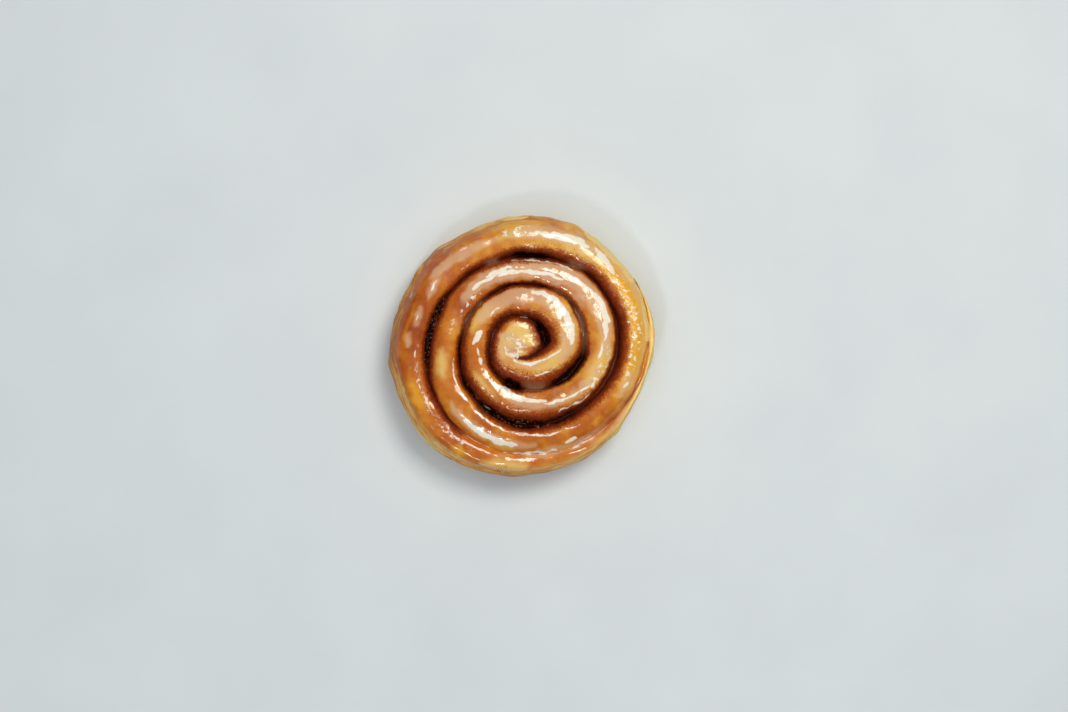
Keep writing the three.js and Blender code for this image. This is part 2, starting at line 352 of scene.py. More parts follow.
def seam(turn):
    wound = along_strip(SEAM_RADII, turn)
    steady = smooth(turn, SEAM_START, SEAM_START + SEAM_STEADIES)
    wound = wound + SEAM_WANDER * wander(turn, 1.0) * steady
    for middle, spread, outward in JOGS:
        wound = wound + outward * swell(turn, middle, spread)
    return mix(wound, outline(turn), smooth(turn, SEAM_END - LEDGE_MERGES, SEAM_END))


HEART_RADIUS = float(seam(np.array([SEAM_START]))[0])


def inner_edge(turn):
    return np.where(turn < SEAM_START + TURN, HEART_RADIUS, seam(turn - TURN))


def outer_edge(turn):
    return np.where(turn < SEAM_END, seam(turn), outline(turn))


def crown_height(turn, radius):
    dome = DOME * (radius / RADIUS) ** 2
    heart = HEART_RISE * np.exp(-((radius / HEART_SPREAD) ** 2))
    crown = HEIGHT - HEART_RISE + heart - dome
    tail = np.clip((turn - TAIL_START) / (STRIP_END - TAIL_START), 0.0, 1.0)
    return mix(crown, WIDEST_HEIGHT, mix(tail**4, tail, TAIL_STEADY_FALL))


def near(turn, spots, fade):
    """How strongly the nearest of the spots acts. It fades between two distances, in half lengths."""
    most = 0.0 * turn
    for middle, half_length, strength in spots:
        start, end = fade[0] * half_length, fade[1] * half_length
        most = np.maximum(most, (1 - smooth(np.abs(turn - middle), start, end)) * strength)
    return most


def pooled(turn):
    """How full of glaze the groove is, from 0 to 1."""
    return near(turn, POOLS, POOL_FADE)


def hole(turn):
    """How far the turns have parted just outside the seam, from 0 to 1."""
    return near(turn, HOLES, HOLE_FADE) / WIDEST_HOLE


def seam_floor(turn):
    opened = smooth(turn, SEAM_START, SEAM_START + GROOVE_OPENS)
    closed = smooth(turn, LEDGE_START - GROOVE_CLOSES, LEDGE_START)
    merged = smooth(turn, SEAM_END - LEDGE_MERGES, SEAM_END)
    groove = (GROOVE_DEPTH + GROOVE_DEEPENS * hole(turn)) * opened * (1 - closed)
    groove = mix(groove, np.minimum(groove, POOL_DEPTH), pooled(turn))
    crease = LEDGE_CREASE * closed * (1 - merged)
    return crown_height(turn + TURN, seam(turn)) - groove - crease


def shoulder(reach):
    """How wide the rounded edge of the strip is, above a stain that reaches this far."""
    return SHOULDER + SHOULDER_GROWS * reach


def inner_shoulder(turn, width):
    return np.minimum(shoulder(along_strip(INNER_STAINS, turn)), WIDEST_SHOULDER_SHARE * width)


def outer_shoulder(turn, width):
    stained = shoulder(along_strip(OUTER_STAINS, turn))
    rim = smooth(turn, LEDGE_START - GROOVE_CLOSES, SEAM_END)
    return np.minimum(mix(stained, RIM_SHOULDER, rim), WIDEST_SHOULDER_SHARE * width)


def groove_gap(turn):
    """How far the strip's inner edge stands off the seam inside it."""
    uneven = 1 + GAP_UNEVEN * wander(turn, GAP_PHASE)
    parted = GROOVE_GAP + WIDEST_HOLE * hole(turn - TURN)
    closed = smooth(turn, LEDGE_START + TURN - GROOVE_CLOSES, LEDGE_START + TURN)
    gap = np.where(turn < SEAM_START + TURN, 0.0, parted * uneven * (1 - closed))
    return np.clip(gap, 0.0, WIDEST_GAP_SHARE * (outer_edge(turn) - inner_edge(turn)))


# ---------------------------------------------------------------- the mesh


class Noise:
    """Smooth gradient noise in space, the same every run. Values lie within about -1 and 1."""

    SIZE = 64

    def __init__(self, seed):
        rng = np.random.default_rng(seed)
        self.order = rng.permutation(self.SIZE)
        directions = rng.normal(size=(self.SIZE, 3))
        self.slopes = directions / np.linalg.norm(directions, axis=1)[:, None]

    def corner(self, cell, offset, local):
        x, y, z = (np.mod(cell[:, k] + offset[k], self.SIZE) for k in range(3))
        which = self.order[(self.order[(self.order[x] + y) % self.SIZE] + z) % self.SIZE]
        return np.sum(self.slopes[which] * (local - np.asarray(offset)), axis=1)

    def __call__(self, points, size, octaves=1):
        total = np.zeros(len(points))
        for octave in range(octaves):
            scaled = points / size * 2.0**octave + 17.0 * octave
            cell = np.floor(scaled).astype(int)
            local = scaled - cell
            fade = local**3 * (local * (local * 6 - 15) + 10)
            layers = []
            for dz in (0, 1):
                rows = []
                for dy in (0, 1):
                    left = self.corner(cell, (0, dy, dz), local)
                    right = self.corner(cell, (1, dy, dz), local)
                    rows.append(mix(left, right, fade[:, 0]))
                layers.append(mix(rows[0], rows[1], fade[:, 1]))
            total += mix(layers[0], layers[1], fade[:, 2]) * 0.5**octave
        return total * 1.6


def strip_columns(turn):
    """The strip's cross-section at each turn angle: radius, height, depth and share across it."""
    inner, outer = inner_edge(turn), outer_edge(turn)
    in_heart = turn < SEAM_START + TURN
    gap = groove_gap(turn)
    inner_height = np.where(in_heart, crown_height(turn, inner), seam_floor(turn - TURN))
    outer_height = np.where(turn > SEAM_END, WIDEST_HEIGHT, seam_floor(turn))
    start = inner + gap
    width = outer - start
    inner_width, outer_width = inner_shoulder(turn, width), outer_shoulder(turn, width)
    inner_width = np.where(in_heart, 0.0, inner_width)
    inner_drop = crown_height(turn, start) - inner_height
    outer_drop = crown_height(turn, outer) - outer_height

    f = np.linspace(0, 1, FINE_ROWS)[None, :]
    one = np.ones_like(f)
    rise = np.hstack([0 * f, QUARTER * f, QUARTER * one, QUARTER * one])
    fall = np.hstack([QUARTER * one, QUARTER * one, QUARTER * one, QUARTER * (1 - f)])
    over = np.hstack([0 * f, 0 * f, f, one])
    floor = np.hstack([f, one, one, one])

    def col(x):
        return x[:, None]

    crown = col(width - inner_width - outer_width) * over
    across = col(inner_width) * (1 - np.cos(rise)) + crown + col(outer_width) * np.cos(fall)
    radius = col(inner) + col(gap) * floor + across
    share = across / np.maximum(col(width), 1e-6)
    arch = ARCH * col(smooth(turn, SEAM_START + TURN, TURN)) * 4 * share * (1 - share)
    level = crown_height(col(turn), radius) + arch
    depth = col(inner_drop) * (1 - np.sin(rise)) + col(outer_drop) * (1 - np.sin(fall))
    return radius, level - depth, depth, share


def resample(turn):
    """Spreads each column's rows evenly along its cross-section, closer on the crown than in grooves."""
    radius, height, depth, share = strip_columns(turn)
    run = np.hypot(np.diff(radius, axis=1), np.diff(height, axis=1))
    inside = (turn < SEAM_END)[:, None]
    care = np.where(inside, mix(1.0, GROOVE_CARE, smooth(depth[:, 1:], 2.0, 6.0)), 1.0)
    length = np.hstack([np.zeros((len(turn), 1)), np.cumsum(run * care + 1e-7, axis=1)])
    out = np.zeros((4, len(turn), ROWS + 1))
    for i in range(len(turn)):
        places = np.linspace(0, length[i, -1], ROWS + 1)
        for k, values in enumerate((radius, height, depth, share)):
            out[k, i] = np.interp(places, length[i], values[i])
    return out


class Skin:
    """A closed surface, built from points on rays round the heart, with values kept at each point."""

    FIELDS = ("turn", "radius", "height", "depth", "share", "side")

    def __init__(self):
        self.rows = []
        self.faces = []

    def point(self, turn, radius, height, depth=0.0, share=1.0, side=0.0):
        self.rows.append((turn, radius, height, depth, share, side))
        return len(self.rows) - 1

    def quad(self, a, b, c, d):
        corners = list(dict.fromkeys((a, b, c, d)))
        if len(corners) > 2:
            self.faces.append(corners)

    def band(self, inner, outer):
        """Joins two rows that run anticlockwise, with the second one further out or lower."""
        for i in range(len(inner) - 1):
            self.quad(inner[i], outer[i], outer[i + 1], inner[i + 1])

    def values(self):
        return dict(zip(self.FIELDS, np.array(self.rows, float).T))


def add_heart(skin):
    middle = skin.point(SEAM_START, 0.0, float(crown_height(0.0, 0.0)), share=0.0)
    inside = [middle] * (COLUMNS + 1)
    for ring in range(1, HEART_RINGS + 1):
        radius = HEART_RADIUS * ring / HEART_RINGS
        height = float(crown_height(0.0, radius))
        turns = SEAM_START + COLUMN * np.arange(COLUMNS)
        outside = [skin.point(turn, radius, height, share=0.0) for turn in turns]
        outside.append(outside[0])
        skin.band(inside, outside)
        inside = outside
    return inside


def add_strip(skin, heart_edge):
    last = round((STRIP_END - SEAM_START) / COLUMN)
    turns = SEAM_START + COLUMN * np.arange(last + 1)
    widths = outer_edge(turns) - inner_edge(turns)
    sections = resample(turns)
    outer_edges, before = [], None
    for column, turn in enumerate(turns):
        inner = heart_edge[column] if column < COLUMNS else outer_edges[column - COLUMNS]
        if widths[column] < CLOSED_WIDTH:
            here = [inner] * (ROWS + 1)
        else:
            section = sections[:, column, 1:].T
            here = [inner] + [skin.point(turn, *values) for values in section]
        outer_edges.append(here[-1])
        if before:
            for row in range(ROWS):
                skin.quad(before[row], before[row + 1], here[row + 1], here[row])
        before = here
    return outer_edges[last - COLUMNS :]


def add_side_and_base(skin, rim):
    turns = SEAM_END + COLUMN * np.arange(COLUMNS)
    edge = outline(turns)
    above = rim
    for row in range(1, SIDE_ROWS + 1):
        tuck = QUARTER * row / SIDE_ROWS
        radius = edge - FOOT_INSET * (1 - math.cos(tuck))
        height = WIDEST_HEIGHT * (1 - math.sin(tuck))
        below = [skin.point(t, r, height, side=row / SIDE_ROWS) for t, r in zip(turns, radius)]
        below.append(below[0])
        skin.band(above, below)
        above = below
    foot = edge - FOOT_INSET
    for ring in range(1, BASE_RINGS):
        inset = 1 - ring / BASE_RINGS
        below = [skin.point(t, r * inset, 0.0, side=2.0) for t, r in zip(turns, foot)]
        below.append(below[0])
        skin.band(above, below)
        above = below
    middle = skin.point(0.0, 0.0, 0.0, side=2.0)
    skin.band(above, [middle] * len(above))


def heart_position():
    """Where the heart stands in the row frame: the middle of the outline's box is the origin."""
    turns = np.arange(0.0, TURN, 1.0)
    x = outline(turns) * np.cos(np.radians(turns))
    y = outline(turns) * np.sin(np.radians(turns))
    return -np.array([(x.min() + x.max()) / 2, (y.min() + y.max()) / 2])


HEART = heart_position()


class Ball:
    """A rough little ball: an icosahedron."""

    def __init__(self):
        ball = bmesh.new()
        bmesh.ops.create_icosphere(ball, subdivisions=1, radius=1.0)
        self.points = np.array([vertex.co[:] for vertex in ball.verts])
        self.faces = np.array([[vertex.index for vertex in face.verts] for face in ball.faces])
        ball.free()


def random_rotation(rng):
    """A rotation matrix, turned any way."""
    q, r = np.linalg.qr(rng.normal(size=(3, 3)))
    q = q * np.sign(np.diag(r))
    return q if np.linalg.det(q) > 0 else -q


def mesh_object(name, points, faces, fields):
    mesh = bpy.data.meshes.new(name)
    mesh.from_pydata((points * MM).tolist(), [], faces)
    mesh.validate()
    mesh.update()
    for field, values in fields.items():
        attribute = mesh.attributes.new(field, "FLOAT", "POINT")
        attribute.data.foreach_set("value", np.asarray(values, np.float32))
    mesh.shade_smooth()
    piece = bpy.data.objects.new(name, mesh)
    bpy.context.scene.collection.objects.link(piece)
    return piece


def vertex_normals(points, faces):
    """Area-weighted normals."""
    normals = np.zeros_like(points)
    for size in (3, 4):
        corners = np.array([face for face in faces if len(face) == size], int)
        if not len(corners):
            continue
        across = points[corners[:, 2]] - points[corners[:, 0]]
        other = points[corners[:, size - 1]] - points[corners[:, 1]]
        face_normals = np.cross(across, other)
        for k in range(size):
            np.add.at(normals, corners[:, k], face_normals)
    return normals / np.maximum(np.linalg.norm(normals, axis=1), 1e-12)[:, None]


def patches(turn, share, spots):
    """How strongly any of the listed patches covers each point."""
    most = np.zeros_like(turn)
    for middle, across, half_length, half_width, strength in spots:
        along = ((turn - middle) / half_length) ** 2
        most = np.maximum(most, strength * np.exp(-along - ((share - across) / half_width) ** 2))
    return most


def strokes(turn, share, radius, width, lines):
    """How far inside any of the listed strokes each point lies, in millimetres from its edge."""
    most = np.full_like(turn, -FAR)
    for start, end, first, last, half_width in lines:
        f = (turn - start) / (end - start)
        inside = np.clip(f, 0.0, 1.0)
        past = (f - inside) * (end - start) * np.radians(1.0) * radius
        off = (share - mix(first, last, inside)) * width
        taper = 1 - STROKE_TAPER * np.abs(2 * inside - 1) ** 3
        most = np.maximum(most, half_width * taper - np.hypot(past, off))
    return most


def dabs(x, y, lines):
    """Like strokes, for straight dabs on the heart."""
    most = np.full_like(x, -FAR)
    for x0, y0, x1, y1, half_width in lines:
        length = math.hypot(x1 - x0, y1 - y0)
        ux, uy = (x1 - x0) / length, (y1 - y0) / length
        f = np.clip((x - x0) * ux + (y - y0) * uy, 0, length)
        most = np.maximum(most, half_width - np.hypot(x - x0 - f * ux, y - y0 - f * uy))
    return most


def stain(v):
    """How deep in the stain each point lies: 1 in the groove, 0 at its edge, below 0 on clean crust."""
    turn, radius = v["turn"], v["radius"]
    inner_reach = STAIN_SPREAD * along_strip(INNER_STAINS, turn)
    outer_reach = STAIN_SPREAD * along_strip(OUTER_STAINS, turn)
    from_inner = 1 - (radius - inner_edge(turn) - groove_gap(turn)) / inner_reach
    from_inner = np.where(turn < SEAM_START + TURN, -1.0, from_inner)
    from_outer = 1 - (seam(np.minimum(turn, SEAM_END)) - radius) / outer_reach
    from_outer = np.where(turn > LEDGE_START, -1.0, from_outer)
    closing = 1 - smooth(turn, LEDGE_START - STAIN_CLOSES, LEDGE_START)
    inside_closing = 1 - smooth(turn, LEDGE_START + TURN - STAIN_CLOSES, LEDGE_START + TURN)
    from_inner = mix(-1.0, from_inner, inside_closing)
    from_outer = mix(-1.0, from_outer, closing)
    return np.where(v["side"] == 0, np.clip(np.maximum(from_inner, from_outer), -1, 1), -1)


def bare(v, points):
    """How far past the glaze's edge each point lies, in shares: above 0 the dough is bare."""
    edge = curve_through(GLAZE_EDGES, (v["turn"] - GLAZE_EDGE_START) / KEY_STEP)
    runs = RUN_LENGTH * Noise(61)(points * (1, 1, RUN_STRETCH), RUN_WIDTH, 2)
    past = v["share"] - edge + RUN_DOWN * v["side"] - runs * smooth(v["share"], RUN_START, 1.0)
    return np.where((v["turn"] > GLAZE_EDGE_START) | (v["side"] > 0), past, -1.0)


def seam_value(v, shape):
    """A value along the nearer of the two seams beside each point of the top."""
    nearer_inner = v["share"] < 0.5
    return np.where(v["side"] == 0, shape(np.where(nearer_inner, v["turn"] - TURN, v["turn"])), 0.0)


def along_length(turn):
    """The distance along the strip, in millimetres."""
    steps = np.arange(SEAM_START - TURN, STRIP_END + TURN, 1.0)
    middle = (inner_edge(steps) + outer_edge(steps)) / 2
    return np.interp(turn, steps, np.cumsum(middle * math.radians(1.0)))


def on_last_turn(turn):
    return smooth(turn, SEAM_END - RIM_BLEND, SEAM_END + RIM_BLEND)


def at_rim(v):
    """1 on the side and the rim, 0 on the crown and the base."""
    on_top = on_last_turn(v["turn"]) * smooth(v["share"], 0.75, 0.9)
    return np.where(v["side"] > 0, 1 - smooth(v["side"], 1.0, 1.5), on_top)


def layers(v, points):
    """The rim's flaky layers: 1 on the edge of each shelf that runs round it, 0 under it."""
    wobble = Noise(37)(points * (1, 1, 0.3), LAYER_WOBBLE_SIZE, 2)
    phase = v["height"] / LAYER_HEIGHT + LAYER_WOBBLE * wobble
    saw = phase - np.floor(phase)
    return smooth(saw, 0.0, LAYER_EDGE) * (1 - smooth(saw, LAYER_SLOPE, 1.0))


def roughen(points, normals, v, stained, flakes):
    """Moves the points along their normals, into the crust's lumps and wrinkles and the rim's layers."""
    lumps, wrinkles = Noise(11), Noise(23)
    on_crown = 1 - smooth(v["depth"], *CROWN_DEPTHS)
    crinkled = smooth(stained, 0.02, 0.2) * (1 - smooth(stained, 0.6, 0.9))
    out = LUMP * lumps(points, LUMP_SIZE, 2) + SMALL_LUMP * lumps(points + 40, SMALL_LUMP_SIZE) * on_crown
    out += WRINKLE * wrinkles(points, WRINKLE_SIZE, 2) * on_crown * (0.5 + crinkled)
    layered, flaky = flakes
    wave = RIM_WAVE * lumps(points + 90, RIM_WAVE_SIZE)
    out += at_rim(v) * (RIM_LAYER * (2 * layered - 1) * flaky + wave)
    above_base = smooth(v["height"], 0.0, 3.0)
    return points + normals * (out * above_base)[:, None]


def surface_fields(points, v, stained, flakes):
    """The values at each point that the dough's material reads."""
    turn, radius = v["turn"], v["radius"]
    stray = Noise(23)
    base = np.where(turn < SEAM_START + TURN, 0.0, inner_edge(turn))
    width = outer_edge(turn) - base
    outward = RAGGED * stray(points + 300, RAGGED_SIZE, 2)
    ahead = RAGGED * stray(points + 400, RAGGED_SIZE, 2)
    ragged_radius = radius + outward
    ragged_turn = turn + np.degrees(ahead / np.maximum(ragged_radius, 3.0))
    share = (ragged_radius - base) / width
    a = np.radians(turn)
    ragged_x, ragged_y = radius * np.cos(a) + ahead, radius * np.sin(a) + ragged_radius - radius
    below = np.where(v["side"] > 0, FAR, at_rim(v) * np.maximum(v["depth"] - PAINT_DEPTH, 0.0))

    def painted(lines, heart_lines):
        on_strip = strokes(ragged_turn, share, radius, width, lines)
        return np.maximum(on_strip, dabs(ragged_x, ragged_y, heart_lines)) - below

    def patched(spots):
        return patches(turn, share, spots) * (1 - smooth(below, 0.0, PATCH_FADE))

    layered, flaky = flakes
    heart_pitted_with_glints = smooth(dabs(ragged_x, ragged_y, HEART_PITTED_AND_GLINT_DABS), *DAB_FADE)
    heart_rust = RUST * smooth(dabs(ragged_x, ragged_y, HEART_RUST), *RUST_FADE)
    rim_on_top = on_last_turn(turn) * smooth(share, 0.6, 0.85)
    return {
        "side": v["side"],
        "stain": stained,
        "along": along_length(turn),
        "across": radius - v["height"],
        "pool": seam_value(v, pooled),
        "hole": seam_value(v, hole),
        "toast": along_strip(TOASTS, turn) + heart_rust,
        "veil": along_strip(VEILS, turn),
        # White glaze and painted highlights, milky glaze and painted sheen, and pitted crust with painted
        # glints.
        "icing_and_highlights": painted(ICING_AND_HIGHLIGHT_STROKES, HEART_GLAZE_AND_HIGHLIGHT_DABS),
        "milk_and_sheen": painted(MILK_AND_SHEEN_STROKES, HEART_MILK_AND_SHEEN_DABS),
        "yellow": patched(YELLOW_PATCHES),
        "pale": painted(PALE_STROKES, HEART_PALE),
        "pitted_and_glints": np.maximum(patched(PITTED_AND_GLINT_PATCHES), heart_pitted_with_glints),
        "speckled": patched(SPECKLED_PATCHES),
        "layer": layered * flaky,
        "rim": np.where(v["side"] > 0, 1, rim_on_top),
        "bare": bare(v, points),
        "bulge": swell(v["height"], WIDEST_HEIGHT, BULGE_SPREAD) * at_rim(v),
    }


def roll_surface():
    """The roll's points, outward normals, faces, the material's fields, and the points' places."""
    skin = Skin()
    add_side_and_base(skin, add_strip(skin, add_heart(skin)))
    v = skin.values()
    a = np.radians(v["turn"])
    x, y = v["radius"] * np.cos(a), v["radius"] * np.sin(a)
    points = np.stack([HEART[0] + x, HEART[1] + y, v["height"]], axis=1)
    normals = vertex_normals(points, skin.faces)
    stained = stain(v)
    flakes = layers(v, points), smooth(Noise(11)(points + 200, FLAKY_SIZE), -0.5, 0.3)
    points = roughen(points, normals, v, stained, flakes)
    fields = surface_fields(points, v, stained, flakes)
    return {"points": points, "normals": normals, "faces": skin.faces, "fields": fields, "places": v}


def crumb_place(turn):
    """1 where coarse crumbs lie in the groove."""
    return near(turn, CRUMB_PLACES, CRUMB_FADE)


def build_crumbs(surface):
    """Grains of cinnamon filling on the stained walls, and coarser crumbs where the turns have parted."""
    fields = surface["fields"]
    stained = np.clip(fields["stain"], 0, 1)
    coarse = seam_value(surface["places"], crumb_place) * smooth(stained, 0.6, 0.9)
    clear = (1 - fields["pool"]) * (1 - smooth(fields["hole"], 0.3, 0.7))
    fine = stained**3 * clear * (1 - smooth(stained, 0.9, 1.0))
    rng = np.random.default_rng(5)
    ball = Ball()
    points, faces, shades = [], [], []

    def scatter(weights, count, sizes):
        chance = weights / weights.sum()
        for vertex in rng.choice(len(chance), count, p=chance):
            size = rng.uniform(*sizes) * rng.uniform(CRUMB_FLATTEST, 1.0, 3)
            turned = ball.points * rng.uniform(*CRUMB_ROUGHNESS, (len(ball.points), 1)) * size
            turned = turned @ random_rotation(rng).T
            out = surface["normals"][vertex] * sizes[0] * CRUMB_PROUD
            faces.extend((ball.faces + sum(map(len, points))).tolist())
            points.append(turned + (surface["points"][vertex] + out))
            shades.append(np.full(len(turned), rng.uniform()))

    reach = np.hypot(*(surface["points"][:, :2] - HEART).T)
    scatter(reach * coarse, CRUMBS, CRUMB_SIZES)
    scatter(reach * fine, GRAINS, GRAIN_SIZES)
    return mesh_object("filling_crumbs", np.vstack(points), faces, {"shade": np.concatenate(shades)})


# ---------------------------------------------------------------- materials


def srgb(red, green, blue):
    """A colour given in 0 to 255, as the linear colour that a shader takes."""

    def linear(c):
        c /= 255.0
        return c / 12.92 if c <= 0.04045 else ((c + 0.055) / 1.055) ** 2.4

    return (linear(red), linear(green), linear(blue), 1.0)


CRUST_COLOURS = [
    (0.0, srgb(238, 196, 108)),
    (0.25, srgb(226, 158, 58)),
    (0.5, srgb(204, 116, 28)),
    (0.75, srgb(182, 88, 18)),
    (1.0, srgb(150, 62, 10)),
]
STAIN_COLOURS = [
    (0.0, srgb(206, 124, 46)),
    (0.25, srgb(180, 88, 28)),
    (0.5, srgb(144, 56, 16)),
    (0.75, srgb(124, 44, 14)),
    (0.9, srgb(82, 27, 10)),
]
GROOVE_COLOUR = srgb(104, 40, 16)
# Painted shade: near black on the groove's floor where the turns have parted.
HOLE_PAINTED_SHADE = srgb(14, 5, 3)
FILLING_COLOURS = [(0.0, srgb(78, 28, 10)), (0.6, srgb(112, 44, 16)), (1.0, srgb(156, 80, 32))]
YELLOW = srgb(240, 176, 44)
PALE = srgb(240, 200, 116)
# Milky glaze, and the colour of the painted sheen.
MILK_AND_SHEEN_COLOUR = srgb(226, 184, 144)
# White glaze, and the colour of the painted highlights and glints.
GLAZE_AND_HIGHLIGHT_WHITE = srgb(255, 247, 230)
BARE_COLOURS = [
    (0.14, srgb(146, 76, 26)),
    (0.26, srgb(198, 116, 48)),
    (0.4, srgb(242, 170, 76)),
    (0.52, srgb(255, 214, 126)),
    (0.7, srgb(255, 222, 146)),
    (0.92, srgb(236, 160, 76)),
]
SPECK = srgb(124, 50, 20)
RIM_LINE = srgb(204, 104, 36)
POOL_COLOUR = srgb(140, 92, 62)
FLOOR_COLOURS = [(0.3, srgb(216, 223, 228)), (0.7, srgb(221, 228, 232))]

# The noises that break up the looks: size in millimetres, detail and roughness.
NOISES = {
    "broad": (12.0, 2.0, 0.5),
    "blotch": (5.0, 2.0, 0.5),
    "patchy": (4.0, 2.0, 0.5),
    "flecks": (1.9, 2.0, 0.6),
    "fine": (1.6, 3.0, 0.6),
    "grain": (0.6, 3.0, 0.7),
    "specks": (0.5, 1.0, 0.5),
    "floor": (60.0, 3.0, 0.5),
}
# Streaks along the strip: length and width in millimetres.
STREAKS = {"lines": (20.0, 0.9), "fibres": (26.0, 2.6)}

# How much each noise moves the crust's and the stain's place in their colours.
CRUST_VARIES = {"broad": 1.1, "blotch": 0.6, "fine": 0.15}
STAIN_VARIES = {"fine": 0.6, "grain": 1.0}

# Each mask follows a field or a noise, moved by other noises: its source, the noises, the source's values
# where the mask starts and is full, and the mask's values there, if they aren't 0 and 1.
MASKS = {
    "golden": ("yellow", {"blotch": 0.9}, 0.15, 0.75, 0.0, 0.9),
    "pale": ("pale", {"blotch": 3.0, "fine": 0.8}, -2.0, 2.4, 0.0, 0.8),
    "veil": ("veil", {"blotch": 1.6}, 0.2, 0.9, 0.0, 0.5),
    # Milky glaze and painted sheen.
    "milk_and_sheen": ("milk_and_sheen", {"blotch": 2.6, "fine": 1.0}, -0.8, 1.4, 0.0, 0.62),
    "stained": ("stain", STAIN_VARIES, -0.12, 0.4),
    "parted": ("hole", {}, 0.15, 0.6),
    "near stain": ("stain", {}, -0.8, 0.5),
    # White glaze and painted highlights, and painted glint flecks where the crust is pitted.
    "icing_and_highlights": ("icing_and_highlights", {"blotch": 1.2, "fine": 0.6}, -0.15, 0.35),
    "painted glint flecks": ("flecks", {}, 0.54, 0.62),
    "flecked": ("pitted_and_glints", {}, 0.2, 0.8),
    "glaze and highlight cover": ("patchy", {"fine": 0.5}, 0.25, 0.65, 0.75, 0.95),
    "pool depth": ("stain", {}, 0.45, 0.8, 0.0, 0.9),
    "bare": ("bare", {"fine": 0.08}, -0.02, 0.03),
    "lines": ("lines", {}, 0.54, 0.64, 0.0, 0.7),
    "lined": ("rim", {"broad": 1.2}, 0.3, 0.9),
    "line depth": ("side", {}, 0.02, 0.3, 0.26, 0.05),
    "foot": ("side", {"blotch": 0.5}, 0.6, 1.1, 0.0, 0.3),
    "bulge grain": ("fine", {}, 0.35, 0.6, 0.0, 0.06),
    "dry stain": ("stain", {}, 0.02, 0.6, 0.0, 0.88),
    "wet": ("patchy", {"fine": 0.4}, 0.32, 0.6, 0.55, 1.0),
}
# How far up the stain the groove's floor starts: where the turns touch, and where they have parted.
FLOOR_STARTS = (0.86, 0.7)
FLOOR_EDGE = 0.12
FLOOR_VARIES = {"fine": 0.2}
# The noise's value above which a speck shows: on clean crust, and where it is fully speckled.
SPECK_LEVELS = (0.8, 0.56)
SPECK_EDGE = 0.06
SPECK_STRENGTH = 0.6
FULLY_SPECKLED = 0.9
# Where bare dough lies in its colours, and what moves it.
FIBRE_LEVEL = 0.5
FIBRE_VARIES = {"broad": 0.5, "fibres": 0.2, "fine": 0.08}
FIBRE_BROWNED = 0.5
FIBRE_LAYERED = 0.1
MIDDLE_TOAST = 0.35
# The glaze's gloss: how dull the rim is, and the coat's weight on wet and on dull crust.
RIM_DULL = 0.85
COAT_WEIGHTS = (1.0, 0.08)
ROUGHNESS = (0.45, 0.65)  # glazed, and bare
# What is the same all over the dough, the filling and the floor.
DOUGH_SOCKETS = {
    "Coat Roughness": 0.12,
    "Coat IOR": 1.6,
    "Specular IOR Level": 0.2,
    "Subsurface Weight": 0.15,
    "Subsurface Radius": (1.0, 0.4, 0.15),
    "Subsurface Scale": 2.0 * MM,
}
FILLING_SOCKETS = {"Roughness": 0.4, "Coat Weight": 0.7, "Coat Roughness": 0.1}
FLOOR_SOCKETS = {"Roughness": 0.75}
# The bump's height from each noise, and its strength and depth in millimetres on smooth and rough areas.
FINE_BUMP = 0.6
GRAIN_BUMP = 0.3
ROUGH_STAIN = (0.1, 0.8)
BUMP, BUMP_MM = (0.2, 1.0), 0.6
COAT_BUMP, COAT_BUMP_MM = (0.04, 0.7), 0.5


